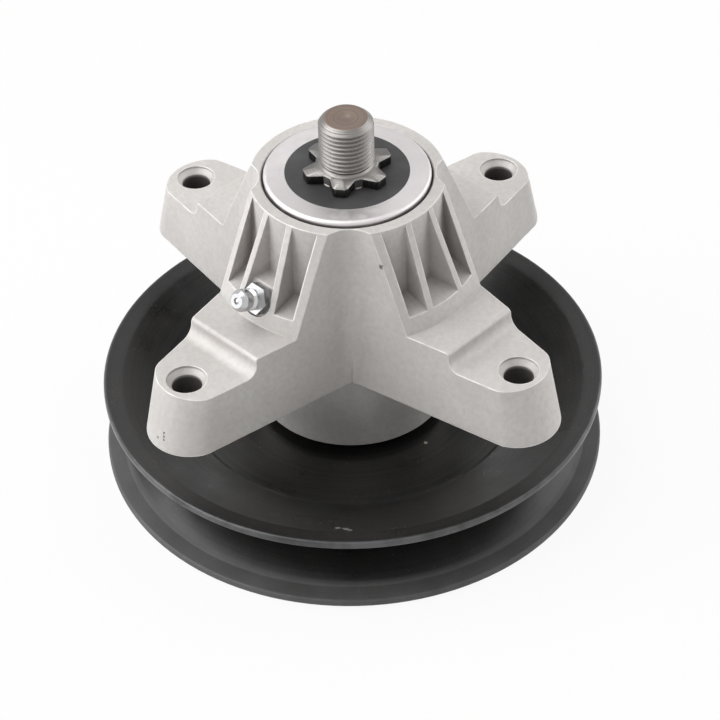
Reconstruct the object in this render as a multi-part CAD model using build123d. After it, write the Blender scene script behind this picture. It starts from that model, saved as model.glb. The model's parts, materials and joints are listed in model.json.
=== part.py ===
from build123d import *
import math
import os

os.makedirs("parts", exist_ok=True)

# A mower deck spindle, standing blade end up on the lower rim of its pulley.
# Frame: origin on the shaft's axis in the plane of that rim, +Z towards the blade end,
# X and Y along the sides of the square that the four bolt holes make. Millimetres.

# Driving dimensions of the pulley
PULLEY_OD = 152.4
UPPER_RIM_OD = 151.4
PULLEY_WIDTH = 26.0
SHEET = 2.5
WEB_SPLIT_Z = 14.0
WEB_FLAT_R = 50.5
WEB_BEND_R = 3.0
LIP_WIDTH = 5.6
LIP_SLOPE_DEG = 12.0
RIM_ROUND = 0.8

# Driving dimensions of the shaft
SEAT_D = 15.875
THREAD_BELOW_SEAT = 0.075
FLATS_ACROSS = 13.0
NECK_D = 18.4
STUB_LENGTH = 15.75
STUB_CHAMFER = 1.7
STUB_CHAMFER_LENGTH = 1.5
RELIEF_DEPTH = 0.7
RELIEF_LENGTH = 1.9
PULLEY_END_Z = 0.8
END_CHAMFER = 0.8

# Driving dimensions of the star blade drive
STAR_TEETH = 6
STAR_TIP_R = 12.9
STAR_ROOT_R = 9.0
STAR_HEIGHT = 2.6
STAR_FIRST_TOOTH_DEG = -100.0
TOOTH_TIP_WIDTH = 4.0
TOOTH_FLANK_DEG = 19.0
TOOTH_TIP_ROUND = 1.2
TOOTH_ROOT_ROUND = 1.0

# Driving dimensions of both bearings
BEARING_OD = 48.2
BEARING_WIDTH = 14.0
OUTER_SHOULDER_D = 34.4
INNER_SHOULDER_D = 24.0
BALL_D = 7.938
BALL_COUNT = 8
BALL_PLAY = 0.04
GROOVE_R = 4.13
RING_ROUND = 1.1
CAGE_CLEARANCE = 0.9
POCKET_PLAY = 0.1
CAGE_SKIRT = 2.0
CAGE_RIM = 1.2

# Driving dimensions of both seals
SEAL_D = 35.9
SEAL_THICKNESS = 1.2
SEAL_RECESS = 1.5
LIP_PLAY = 0.05
STAR_GAP = 0.3

# Driving dimensions of the stack on the shaft
PULLEY_SPACER_LENGTH = 5.25
SPACER_FLANGE_D = 28.0
SPACER_FLANGE_HEIGHT = 2.5
TUBE_LENGTH = 51.85
TUBE_OD = 24.0
SLIDE_PLAY = 0.06
WASHER_OD = 30.0
WASHER_THICKNESS = 1.5
NUT_ACROSS = 23.8
NUT_HEIGHT = 8.5
NUT_CHAMFER = 1.2

# Driving dimensions of the housing
HUB_LIP = 1.0
HUB_R = 28.95
HUB_CHAMFER = 0.6
HUB_LENGTH = 26.25
LEG_THICKNESS = 18.2
STEP_HEIGHT = 5.6
RING_PROUD = 1.3
HOLE_SPACING = 93.3
LEG_HALF_WIDTH = 12.7
LEG_SPLAY_DEG = 10.1
LEG_OVERHANG = 12.3
LEG_END_R = 13.0
LEG_END_LEAN_DEG = 15.2
LEG_CORNER_R = 6.0
VALLEY_R = 4.0
DRAFT_DEG = 5.2
STEP_TO_HOLE = 14.7
STEP_FOOT_R = 3.6
STEP_EDGE_R = 1.2
RIM_R = 28.2
FLARE_R = 40.6
CAVITY_R = 21.0
MOUTH_CHAMFER = 0.95
FIN_ANGLE_DEG = 9.2
FIN_THICKNESS = 2.0
WALL = 2.3
POCKET_DRAFT_DEG = 1.5
POCKET_LAND = 0.1
POCKET_CORNER_R = 0.9
POCKET_FLOOR_RISE = 5.7
POCKET_LIP_RISE = 4.6
HOLE_D = 8.7
SPOT_D = 11.5
SPOT_DEPTH = 0.7

# Driving dimensions of the grease fitting
FITTING_AZIMUTH_DEG = -135.0
FITTING_RISE_DEG = 26.0
FITTING_R = 36.0
FITTING_ABOVE_STEP = 5.7
FITTING_HEX = 8.0
FITTING_HEX_HEIGHT = 3.0
FITTING_BARREL = 2.0
FITTING_WAIST = 1.0
FITTING_WAIST_SLOPE = 0.6
FITTING_WAIST_D = 5.0
FITTING_HEAD_D = 6.5
FITTING_HEAD_ROUND = 0.5
FITTING_FACE_D = 4.2
FITTING_FACE_SLOPE = 0.9
FITTING_NOSE = 7.4
FITTING_SHANK_D = 6.35
FITTING_SHANK = 6.0
FITTING_BORE_D = 2.9
FITTING_MOUTH_D = 1.9
FITTING_MOUTH_DEPTH = 0.5
CHECK_BALL_D = 2.6
CHECK_SEAT_PLAY = 0.05
CRIMP_LENGTH = 0.8
CRIMP_D = 1.6
SPRING_WIRE = 0.35
SPRING_TURNS = 7
SPRING_PLAY = 0.1
GREASE_HOLE_D = 3.0
SPOT_FACE_D = 10.6
BOSS_TOP = 9.7

# Heights that follow from the stack, from the lower rim up
WEB_TOP_Z = WEB_SPLIT_Z + SHEET
WEB_BOTTOM_Z = WEB_SPLIT_Z - SHEET
LOWER_RACE_Z = WEB_TOP_Z + PULLEY_SPACER_LENGTH
LOWER_FACE_Z = LOWER_RACE_Z - SEAL_RECESS
LOWER_INSIDE_Z = LOWER_FACE_Z + BEARING_WIDTH
UPPER_INSIDE_Z = LOWER_INSIDE_Z + TUBE_LENGTH
UPPER_FACE_Z = UPPER_INSIDE_Z + BEARING_WIDTH
UPPER_RACE_Z = UPPER_FACE_Z - SEAL_RECESS
STAR_BOTTOM_Z = UPPER_FACE_Z + STAR_GAP
STAR_TOP_Z = STAR_BOTTOM_Z + STAR_HEIGHT
SHAFT_TOP_Z = STAR_TOP_Z + STUB_LENGTH
HUB_BOTTOM_Z = LOWER_FACE_Z - HUB_LIP
DECK_FACE_Z = HUB_BOTTOM_Z + HUB_LENGTH
PAD_Z = DECK_FACE_Z + LEG_THICKNESS
STEP_Z = PAD_Z + STEP_HEIGHT
RIM_Z = UPPER_FACE_Z - RING_PROUD
WASHER_Z = WEB_BOTTOM_Z - WASHER_THICKNESS
NUT_Z = WASHER_Z - NUT_HEIGHT

# Radii and distances that follow
THREAD_D = SEAT_D - THREAD_BELOW_SEAT
RELIEF_D = THREAD_D - 2 * RELIEF_DEPTH
BEARING_R = BEARING_OD / 2
PITCH_R = (OUTER_SHOULDER_D + INNER_SHOULDER_D) / 4
BALL_R = BALL_D / 2
LIP_R = NECK_D / 2 + LIP_PLAY
HOLE_RADIUS = HOLE_SPACING / math.sqrt(2)
LEG_ANGLES = [45, 135, 225, 315]
FITTING_TIP = FITTING_HEX_HEIGHT + FITTING_NOSE
FAR = 4 * PULLEY_OD


def tan(degrees):
    return math.tan(math.radians(degrees))


def cos(degrees):
    return math.cos(math.radians(degrees))


def sin(degrees):
    return math.sin(math.radians(degrees))


def turned(points):
    """A solid of revolution about the shaft's axis from (radius, height) corners."""
    outline = Plane.XZ * make_face(Polyline(*points, close=True))
    return revolve(outline, Axis.Z)


def tube(outer_r, inner_r, low_z, high_z):
    return turned([(inner_r, low_z), (outer_r, low_z), (outer_r, high_z), (inner_r, high_z)])


def left_of(x, y, angle):
    """The half plane on the left of the line through (x, y) at an angle."""
    return Location((x, y, 0), (0, 0, angle)) * Pos(0, FAR / 2) * Rectangle(2 * FAR, FAR)


def around(shape, angles):
    """The union of one shape turned to each of several angles."""
    copies = [Rot(0, 0, angle) * shape for angle in angles]
    return copies[0].fuse(*copies[1:])


# Pulley: two stamped halves, back to back
def stamped_half(rim_r, rim_z, web_z, side):
    """One half: a flat web, a conical flange and a flatter lip, of one sheet thickness.

    web_z is the web's outer face, rim_z the height where the lip ends, and side is
    1 for the half that opens upwards and -1 for the one that opens downwards.
    """
    lip_r = rim_r - LIP_WIDTH
    lip_z = rim_z - side * LIP_WIDTH * tan(LIP_SLOPE_DEG)
    past_z = 2 * rim_z - lip_z
    path = Polyline((0, web_z), (WEB_FLAT_R, web_z), (lip_r, lip_z), (rim_r + LIP_WIDTH, past_z))
    corners = path.vertices().sort_by(Axis.X)[1:3]
    path = fillet(corners, radius=WEB_BEND_R)
    far_side = Side.RIGHT if side > 0 else Side.LEFT
    section = make_face(offset(path, amount=SHEET, side=far_side, closed=True))
    section = section & Pos(rim_r / 2, 0) * Rectangle(rim_r, FAR)
    rim = section.vertices().sort_by(Axis.X)[-2:]
    section = fillet(rim, radius=RIM_ROUND)
    return revolve(Plane.XZ * section, Axis.Z)


def drive_profile(play):
    """A round shaft end with two flats."""
    round_end = Circle(SEAT_D / 2 + play)
    return round_end & Rectangle(FLATS_ACROSS + 2 * play, FAR)


def drive_bore():
    return extrude(drive_profile(SLIDE_PLAY), amount=FAR, both=True)


def make_pulley_upper_half():
    half = stamped_half(UPPER_RIM_OD / 2, PULLEY_WIDTH, WEB_TOP_Z, 1)
    return half - drive_bore()


def make_pulley_lower_half():
    half = stamped_half(PULLEY_OD / 2, 0, WEB_BOTTOM_Z, -1)
    return half - drive_bore()


# Shaft with the star blade drive
def star_profile():
    tooth_root_half = TOOTH_TIP_WIDTH / 2 + STAR_TIP_R * tan(TOOTH_FLANK_DEG)
    tooth = make_face(
        Polyline(
            (0, -tooth_root_half),
            (STAR_TIP_R, -TOOTH_TIP_WIDTH / 2),
            (STAR_TIP_R, TOOTH_TIP_WIDTH / 2),
            (0, tooth_root_half),
            close=True,
        )
    )
    spacing = 360 / STAR_TEETH
    wedge = left_of(0, 0, -spacing / 2) & (Rot(0, 0, 180) * left_of(0, 0, spacing / 2))
    tooth = tooth & wedge
    angles = [STAR_FIRST_TOOTH_DEG + spacing * i for i in range(STAR_TEETH)]
    star = Circle(STAR_ROOT_R) + around(tooth, angles)
    tips = [v for v in star.vertices() if v.center().length > (STAR_ROOT_R + STAR_TIP_R) / 2]
    star = fillet(tips, radius=TOOTH_TIP_ROUND)
    roots = [v for v in star.vertices() if v.center().length < STAR_ROOT_R + TOOTH_ROOT_ROUND / 2]
    return fillet(roots, radius=TOOTH_ROOT_ROUND)


def make_shaft():
    seat_r = SEAT_D / 2
    thread_r = THREAD_D / 2
    relief_top = STAR_TOP_Z + RELIEF_LENGTH
    body = turned(
        [
            (0, PULLEY_END_Z),
            (thread_r - END_CHAMFER, PULLEY_END_Z),
            (thread_r, PULLEY_END_Z + END_CHAMFER),
            (thread_r, WEB_BOTTOM_Z),
            (seat_r, WEB_BOTTOM_Z),
            (seat_r, UPPER_RACE_Z),
            (NECK_D / 2, UPPER_RACE_Z),
            (NECK_D / 2, STAR_BOTTOM_Z),
            (STAR_ROOT_R, STAR_BOTTOM_Z),
            (STAR_ROOT_R, STAR_TOP_Z),
            (thread_r, STAR_TOP_Z),
            (RELIEF_D / 2, STAR_TOP_Z + RELIEF_DEPTH),
            (RELIEF_D / 2, relief_top - RELIEF_DEPTH),
            (thread_r, relief_top),
            (thread_r, SHAFT_TOP_Z - STUB_CHAMFER_LENGTH),
            (thread_r - STUB_CHAMFER, SHAFT_TOP_Z),
            (0, SHAFT_TOP_Z),
        ]
    )
    star = Pos(0, 0, STAR_BOTTOM_Z) * extrude(star_profile(), amount=STAR_HEIGHT)
    flats_top = WEB_TOP_Z + SLIDE_PLAY
    beside = Rectangle(FAR, FAR) - Rectangle(FLATS_ACROSS, FAR)
    flats = Pos(0, 0, flats_top - FAR) * extrude(beside, amount=FAR)
    return body + star - flats


# Bearings, written once for the blade side and mirrored for the pulley side
def groove_tool(bottom_r, side):
    """A ring that cuts a ball groove whose bottom lies at bottom_r."""
    centre_r = bottom_r - side * GROOVE_R
    section = Pos(centre_r, 0) * Circle(GROOVE_R)
    return revolve(Plane.XZ * section, Axis.Z)


def bearing_outer_ring():
    half = BEARING_WIDTH / 2
    ring = tube(BEARING_R, OUTER_SHOULDER_D / 2, -half, half)
    outside = ring.edges().filter_by(GeomType.CIRCLE).group_by(lambda e: e.radius)[-1]
    ring = fillet(outside, radius=RING_ROUND)
    seal_seat = tube(SEAL_D / 2, 0, half - SEAL_THICKNESS, half + SEAL_THICKNESS)
    return ring - seal_seat - groove_tool(PITCH_R + BALL_R + BALL_PLAY, 1)


def bearing_inner_ring():
    half = BEARING_WIDTH / 2
    ring = tube(INNER_SHOULDER_D / 2, SEAT_D / 2, -half, half - SEAL_RECESS)
    return ring - groove_tool(PITCH_R - BALL_R - BALL_PLAY, -1)


def ball_centres():
    step = 360 / BALL_COUNT
    return [(PITCH_R * cos(step * i), PITCH_R * sin(step * i), 0) for i in range(BALL_COUNT)]


def bearing_balls():
    return Compound(children=[Pos(*centre) * Sphere(BALL_R) for centre in ball_centres()])


def bearing_cage():
    """A crown cage: a rim beside the balls and a skirt that wraps round them."""
    rim_low = -(BALL_R + CAGE_RIM)
    cage = tube(
        OUTER_SHOULDER_D / 2 - CAGE_CLEARANCE,
        INNER_SHOULDER_D / 2 + CAGE_CLEARANCE,
        rim_low,
        CAGE_SKIRT,
    )
    for centre in ball_centres():
        cage -= Pos(*centre) * Sphere(BALL_R + POCKET_PLAY)
    return cage


def bearing_seal():
    half = BEARING_WIDTH / 2
    return tube(SEAL_D / 2, LIP_R, half - SEAL_THICKNESS, half)


def place_blade_side(shape):
    return Pos(0, 0, UPPER_FACE_Z - BEARING_WIDTH / 2) * shape


def place_pulley_side(shape):
    return Pos(0, 0, LOWER_FACE_Z + BEARING_WIDTH / 2) * mirror(shape, about=Plane.XY)


# Spacers, washer and nut
def make_pulley_spacer():
    bore_r = SEAT_D / 2 + SLIDE_PLAY
    flange_z = WEB_TOP_Z + SPACER_FLANGE_HEIGHT
    return turned(
        [
            (bore_r, WEB_TOP_Z),
            (SPACER_FLANGE_D / 2, WEB_TOP_Z),
            (SPACER_FLANGE_D / 2, flange_z),
            (NECK_D / 2, flange_z),
            (NECK_D / 2, LOWER_RACE_Z),
            (bore_r, LOWER_RACE_Z),
        ]
    )


def make_bearing_spacer():
    return tube(TUBE_OD / 2, SEAT_D / 2 + SLIDE_PLAY, LOWER_INSIDE_Z, UPPER_INSIDE_Z)


def make_pulley_washer():
    return tube(WASHER_OD / 2, SEAT_D / 2 + SLIDE_PLAY, WASHER_Z, WEB_BOTTOM_Z)


def make_pulley_nut():
    hexagon = RegularPolygon(NUT_ACROSS / 2, 6, major_radius=False)
    nut = Pos(0, 0, NUT_Z) * extrude(hexagon, amount=NUT_HEIGHT)
    corner_r = NUT_ACROSS / math.sqrt(3)
    rounded = turned(
        [
            (0, NUT_Z),
            (corner_r - NUT_CHAMFER, NUT_Z),
            (corner_r, NUT_Z + NUT_CHAMFER * tan(30)),
            (corner_r, WASHER_Z),
            (0, WASHER_Z),
        ]
    )
    return (nut & rounded) - tube(THREAD_D / 2, 0, NUT_Z - 1, WASHER_Z + 1)


# Housing: one casting with four legs, a flared tower and radial fins
def leg_half_width(distance, inset=0):
    """Half the width of a leg in the deck face's plane, or of one drawn in by an inset."""
    splayed = LEG_HALF_WIDTH + (HOLE_RADIUS - distance) * tan(LEG_SPLAY_DEG)
    return splayed - inset / cos(LEG_SPLAY_DEG)


def leg_walls(inset):
    """The splayed walls and valleys of all four legs, drafted, up to the rim's height."""
    far = HOLE_RADIUS + 2 * LEG_OVERHANG
    wedge = make_face(
        Polyline(
            (0, -leg_half_width(0, inset)),
            (far, -leg_half_width(far, inset)),
            (far, leg_half_width(far, inset)),
            (0, leg_half_width(0, inset)),
            close=True,
        )
    )
    cross = around(wedge, LEG_ANGLES)
    valleys = [v for v in cross.vertices() if min(abs(v.X), abs(v.Y)) < 0.01]
    cross = fillet(valleys, radius=VALLEY_R + inset)
    return Pos(0, 0, DECK_FACE_Z) * extrude(cross, amount=RIM_Z - DECK_FACE_Z, taper=DRAFT_DEG)


def leg_reach():
    """A round-ended bar, leaning in towards the shaft, that ends one leg along +X."""
    centre = HOLE_RADIUS + LEG_OVERHANG - LEG_END_R
    tangent_x = centre + LEG_END_R * sin(LEG_SPLAY_DEG)
    tangent_y = LEG_END_R * cos(LEG_SPLAY_DEG)
    root_y = tangent_y + tangent_x * tan(LEG_SPLAY_DEG)
    bar = make_face(
        Polyline((0, -root_y), (tangent_x, -tangent_y), (tangent_x, tangent_y), (0, root_y), close=True)
    )
    bar = bar + Pos(centre, 0) * Circle(LEG_END_R)
    slope = (-sin(LEG_END_LEAN_DEG), 0, cos(LEG_END_LEAN_DEG))
    length = (RIM_Z - DECK_FACE_Z) / cos(LEG_END_LEAN_DEG)
    return Pos(0, 0, DECK_FACE_Z) * extrude(bar, amount=length, dir=slope)


def legs():
    """Walls and leaning ends of the four legs, with the corners between them rounded."""
    body = leg_walls(0) & around(leg_reach(), LEG_ANGLES)
    corners = [
        edge
        for edge in body.edges()
        if edge.bounding_box().size.Z > LEG_THICKNESS
        and math.hypot(edge.center().X, edge.center().Y) > FLARE_R
    ]
    return fillet(corners, radius=LEG_CORNER_R)


def step_bar():
    """The raised step over one pair of opposite legs, along X, with its concave foot."""
    edge = HOLE_RADIUS - STEP_TO_HOLE
    foot_z = PAD_Z - STEP_FOOT_R
    profile = make_face(
        Polyline(
            (-FAR, foot_z), (FAR, foot_z), (FAR, PAD_Z), (edge, PAD_Z), (edge, STEP_Z),
            (-edge, STEP_Z), (-edge, PAD_Z), (-FAR, PAD_Z), close=True,
        )
    )
    tops = [v for v in profile.vertices() if abs(v.Y - STEP_Z) < 0.01]
    profile = fillet(tops, radius=STEP_EDGE_R)
    feet = [v for v in profile.vertices() if abs(v.Y - PAD_Z) < 0.01 and abs(v.X) < edge + 0.01]
    profile = fillet(feet, radius=STEP_FOOT_R)
    return extrude(Plane.XZ * profile, amount=2 * leg_half_width(0), both=True)


def envelope():
    """Everything that the casting may fill: slab to the pads, steps and flared tower."""
    slab = Pos(0, 0, DECK_FACE_Z) * extrude(Rectangle(FAR, FAR), amount=LEG_THICKNESS)
    tower = turned([(0, DECK_FACE_Z), (FLARE_R, DECK_FACE_Z), (FLARE_R, STEP_Z), (RIM_R, RIM_Z), (0, RIM_Z)])
    bars = around(step_bar(), [45, 135])
    return slab + bars + tower


def pocket_profile():
    """What the pockets take away outside the core, above a floor that ends in a lip."""
    core_r = RIM_R + POCKET_LAND
    foot_z = STEP_Z + POCKET_FLOOR_RISE
    lip_z = STEP_Z + POCKET_LIP_RISE
    core_foot_r = core_r + (RIM_Z - foot_z) * tan(POCKET_DRAFT_DEG)
    return turned(
        [
            (core_r, RIM_Z),
            (core_foot_r, foot_z),
            (FLARE_R, lip_z),
            (FAR, lip_z),
            (FAR, RIM_Z),
        ]
    )


def fins():
    plate = Pos(FAR / 2, 0, (STEP_Z + RIM_Z) / 2) * Box(FAR, FIN_THICKNESS, RIM_Z - STEP_Z + 2)
    sides = [angle + side * FIN_ANGLE_DEG for angle in LEG_ANGLES for side in (-1, 1)]
    return around(plate, sides)


def pockets():
    """The pockets between the fins and walls of all four legs."""
    hollow = leg_walls(WALL) & pocket_profile()
    pieces = []
    for piece in (hollow - fins()).solids():
        upright = [edge for edge in piece.edges() if is_pocket_corner(edge)]
        pieces.append(fillet(upright, radius=POCKET_CORNER_R))
    return pieces


def is_pocket_corner(edge):
    """An edge between a fin or wall and the core, which runs from the rim to the floor."""
    middle = edge.center()
    near_core = math.hypot(middle.X, middle.Y) < (RIM_R + FLARE_R) / 2
    return near_core and edge.bounding_box().size.Z > (RIM_Z - STEP_Z) / 2


def boss_face_r(height):
    """Radius of the grease fitting's boss face at a height above the step."""
    return FITTING_R - (height - FITTING_ABOVE_STEP) * tan(FITTING_RISE_DEG)


def fitting_boss():
    """The metal that fills the lower part of the pocket behind the grease fitting."""
    top_z = STEP_Z + BOSS_TOP
    cone = turned([(RIM_R, STEP_Z), (boss_face_r(0), STEP_Z), (boss_face_r(BOSS_TOP), top_z), (RIM_R, top_z)])
    half_width = FLARE_R * tan(FIN_ANGLE_DEG)
    wedge = make_face(Polyline((0, 0), (FLARE_R, -half_width), (FLARE_R, half_width), close=True))
    reach = Pos(0, 0, DECK_FACE_Z) * extrude(wedge, amount=RIM_Z)
    return cone & Rot(0, 0, FITTING_AZIMUTH_DEG) * reach


def fitting_place():
    """The place of the grease fitting: its base plane, with +Z along its axis outwards."""
    radial = Vector(cos(FITTING_AZIMUTH_DEG), sin(FITTING_AZIMUTH_DEG), 0)
    along = radial * cos(FITTING_RISE_DEG) + Vector(0, 0, sin(FITTING_RISE_DEG))
    base = radial * FITTING_R + Vector(0, 0, STEP_Z + FITTING_ABOVE_STEP)
    sideways = Vector(0, 0, 1).cross(radial)
    return Plane(origin=base, x_dir=sideways, z_dir=along).location


def bolt_hole():
    """A bolt hole with its countersunk spot, on the shaft's axis."""
    spot_z = PAD_Z - SPOT_DEPTH
    cone_z = spot_z - (SPOT_D - HOLE_D) / 2
    return turned(
        [
            (0, DECK_FACE_Z - 1),
            (HOLE_D / 2, DECK_FACE_Z - 1),
            (HOLE_D / 2, cone_z),
            (SPOT_D / 2, spot_z),
            (SPOT_D / 2, PAD_Z + STEP_HEIGHT),
            (0, PAD_Z + STEP_HEIGHT),
        ]
    )


def make_housing():
    body = legs() & envelope()
    for pocket in pockets():
        body -= pocket
    body += fitting_boss()
    body += turned(
        [
            (0, HUB_BOTTOM_Z),
            (HUB_R - HUB_CHAMFER, HUB_BOTTOM_Z),
            (HUB_R, HUB_BOTTOM_Z + HUB_CHAMFER),
            (HUB_R, DECK_FACE_Z),
            (0, DECK_FACE_Z),
        ]
    )
    body -= turned(
        [
            (0, HUB_BOTTOM_Z - 1),
            (BEARING_R, HUB_BOTTOM_Z - 1),
            (BEARING_R, LOWER_INSIDE_Z),
            (CAVITY_R, LOWER_INSIDE_Z),
            (CAVITY_R, UPPER_INSIDE_Z),
            (BEARING_R, UPPER_INSIDE_Z),
            (BEARING_R, RIM_Z - MOUTH_CHAMFER),
            (BEARING_R + MOUTH_CHAMFER, RIM_Z),
            (BEARING_R + MOUTH_CHAMFER, RIM_Z + 1),
            (0, RIM_Z + 1),
        ]
    )
    for angle in LEG_ANGLES:
        body -= Rot(0, 0, angle) * Pos(HOLE_RADIUS, 0, 0) * bolt_hole()
    reach = FITTING_R / cos(FITTING_RISE_DEG)
    body -= fitting_place() * tube(SPOT_FACE_D / 2, 0, 0, FITTING_NOSE + FITTING_HEX_HEIGHT)
    body -= fitting_place() * tube(FITTING_SHANK_D / 2, 0, -FITTING_SHANK, 0)
    body -= fitting_place() * tube(GREASE_HOLE_D / 2, 0, -reach, 0)
    return body


# Grease fitting, along +Z from its base plane
def make_fitting_body():
    hexagon = RegularPolygon(FITTING_HEX / 2, 6, major_radius=False)
    body = extrude(hexagon, amount=FITTING_HEX_HEIGHT)
    barrel_z = FITTING_HEX_HEIGHT + FITTING_BARREL
    waist_z = barrel_z + FITTING_WAIST_SLOPE + FITTING_WAIST
    face_z = FITTING_TIP - FITTING_FACE_SLOPE
    body += turned(
        [
            (0, -FITTING_SHANK),
            (FITTING_SHANK_D / 2, -FITTING_SHANK),
            (FITTING_SHANK_D / 2, 0),
            (FITTING_HEAD_D / 2, FITTING_HEX_HEIGHT),
            (FITTING_HEAD_D / 2, barrel_z),
            (FITTING_WAIST_D / 2, barrel_z + FITTING_WAIST_SLOPE),
            (FITTING_WAIST_D / 2, waist_z),
            (FITTING_HEAD_D / 2, waist_z + FITTING_WAIST_SLOPE),
            (FITTING_HEAD_D / 2, face_z - FITTING_HEAD_ROUND),
            (FITTING_HEAD_D / 2 - FITTING_HEAD_ROUND / 2, face_z),
            (FITTING_FACE_D / 2, FITTING_TIP),
            (0, FITTING_TIP),
        ]
    )
    bore_end = FITTING_TIP - FITTING_MOUTH_DEPTH
    body -= tube(FITTING_BORE_D / 2, 0, spring_seat_z(), bore_end)
    body -= tube(FITTING_MOUTH_D / 2, 0, bore_end - 1, FITTING_TIP + 1)
    body -= tube(CRIMP_D / 2, 0, -FITTING_SHANK - 1, spring_seat_z() + 1)
    return body


def spring_seat_z():
    """Height of the crimped lip that carries the check spring."""
    return CRIMP_LENGTH - FITTING_SHANK


def check_ball_z():
    """Height of the check ball's centre, just off the inner edge of the mouth."""
    seat_drop = math.sqrt(CHECK_BALL_D**2 - FITTING_MOUTH_D**2) / 2
    return FITTING_TIP - FITTING_MOUTH_DEPTH - seat_drop - CHECK_SEAT_PLAY


def make_check_ball():
    return Pos(0, 0, check_ball_z()) * Sphere(CHECK_BALL_D / 2)


def make_check_spring():
    """A coil from the crimped lip to the shoulder of the check ball."""
    coil_r = FITTING_BORE_D / 2 - SPRING_PLAY - SPRING_WIRE / 2
    low_z = spring_seat_z() + SPRING_WIRE / 2 + SPRING_PLAY
    reach = CHECK_BALL_D / 2 + SPRING_WIRE / 2 + SPRING_PLAY
    top_z = check_ball_z() - math.sqrt(max(reach**2 - coil_r**2, 0))
    path = Helix(pitch=(top_z - low_z) / SPRING_TURNS, height=top_z - low_z, radius=coil_r)
    wire = Plane(origin=path @ 0, z_dir=path % 0) * Circle(SPRING_WIRE / 2)
    return Pos(0, 0, low_z) * sweep(wire, path=path)


def write(node, shape):
    export_step(shape, f"parts/{node}.step")


BEARING_PIECES = {
    "outer_ring": bearing_outer_ring,
    "inner_ring": bearing_inner_ring,
    "balls": bearing_balls,
    "cage": bearing_cage,
}

write("housing", make_housing())
write("shaft", make_shaft())
for piece, maker in BEARING_PIECES.items():
    write(f"blade_bearing_{piece}", place_blade_side(maker()))
    write(f"pulley_bearing_{piece}", place_pulley_side(maker()))
write("blade_seal", place_blade_side(bearing_seal()))
write("pulley_seal", place_pulley_side(bearing_seal()))
write("bearing_spacer", make_bearing_spacer())
write("pulley_spacer", make_pulley_spacer())
write("pulley_upper_half", make_pulley_upper_half())
write("pulley_lower_half", make_pulley_lower_half())
write("pulley_washer", make_pulley_washer())
write("pulley_nut", make_pulley_nut())
write("grease_fitting", fitting_place() * make_fitting_body())
write("grease_check_ball", fitting_place() * make_check_ball())
write("grease_check_spring", fitting_place() * make_check_spring())
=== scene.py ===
# %% [markdown]
# # Mower deck spindle
# The spindle carries the blade of a lawn mower: a cast housing is bolted under the deck,
# and a shaft turns in it on two ball bearings, driven by the belt pulley on its other
# end. In this picture it stands upside down on its pulley, blade end up.
#
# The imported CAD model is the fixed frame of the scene. It could be rebuilt by eye in
# Blender, but then no bolt would fit, so the CAD nodes stay and only what they lack is
# added. Lengths are in metres, and MM turns millimetres into them. The origin is on the
# shaft's axis at the lower rim of the pulley, and +Z points to the blade end.

import json
import math

import bmesh
import bpy
from mathutils import Matrix, Vector

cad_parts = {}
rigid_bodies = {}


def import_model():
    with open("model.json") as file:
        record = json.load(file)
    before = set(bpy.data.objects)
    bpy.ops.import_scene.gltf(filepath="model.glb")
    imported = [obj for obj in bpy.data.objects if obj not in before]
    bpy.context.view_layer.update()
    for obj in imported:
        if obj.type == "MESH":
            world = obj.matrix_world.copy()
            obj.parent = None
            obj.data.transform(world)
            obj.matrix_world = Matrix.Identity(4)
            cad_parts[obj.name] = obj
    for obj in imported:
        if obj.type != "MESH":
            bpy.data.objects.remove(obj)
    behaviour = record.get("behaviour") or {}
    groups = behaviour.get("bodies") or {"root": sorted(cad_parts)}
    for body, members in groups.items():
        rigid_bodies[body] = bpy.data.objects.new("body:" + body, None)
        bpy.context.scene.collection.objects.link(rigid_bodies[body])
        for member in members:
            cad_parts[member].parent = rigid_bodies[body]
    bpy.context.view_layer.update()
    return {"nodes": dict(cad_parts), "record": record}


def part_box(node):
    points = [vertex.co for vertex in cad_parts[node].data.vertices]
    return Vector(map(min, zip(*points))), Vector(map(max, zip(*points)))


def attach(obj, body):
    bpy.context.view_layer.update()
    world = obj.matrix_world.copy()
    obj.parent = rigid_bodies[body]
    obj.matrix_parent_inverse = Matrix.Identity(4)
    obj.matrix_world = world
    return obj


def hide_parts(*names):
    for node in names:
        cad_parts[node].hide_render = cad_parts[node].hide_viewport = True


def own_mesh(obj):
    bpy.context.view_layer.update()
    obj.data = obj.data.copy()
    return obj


MM = 0.001
for leftover in list(bpy.data.objects):
    bpy.data.objects.remove(leftover)
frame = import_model()
nodes = frame["nodes"]

# %% [markdown]
# ## Values and colours
# A real finish is never one flat colour. Each material here is a small network: a noise
# read at the object's own coordinates, a ramp that turns it into a value, and a mix that
# moves between two colours by it. An image texture could do the same, but it would need
# a file and an unwrapped mesh, and a network needs neither.
#
# The scale of a noise counts its features per metre: 45 gives clouds of about 2 cm, and
# 1500 a grain finer than 1 mm. Most of a noise lies between 0.3 and 0.7, which is why so
# many ramps below start and end there.

# %% Values and colours
NOISE_ROUGHNESS = 0.55


def new_material(name, roughness, metallic=0.0):
    mat = bpy.data.materials.new(name)
    mat.use_nodes = True
    shader = mat.node_tree.nodes["Principled BSDF"]
    shader.inputs["Metallic"].default_value = metallic
    shader.inputs["Roughness"].default_value = roughness
    return mat, mat.node_tree, shader


def object_coords(tree):
    return tree.nodes.new("ShaderNodeTexCoord").outputs["Object"]


def noise(tree, vector, scale, detail=3.0):
    node = tree.nodes.new("ShaderNodeTexNoise")
    node.inputs["Scale"].default_value = scale
    node.inputs["Detail"].default_value = detail
    node.inputs["Roughness"].default_value = NOISE_ROUGHNESS
    tree.links.new(vector, node.inputs["Vector"])
    return node.outputs["Fac"]


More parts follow.
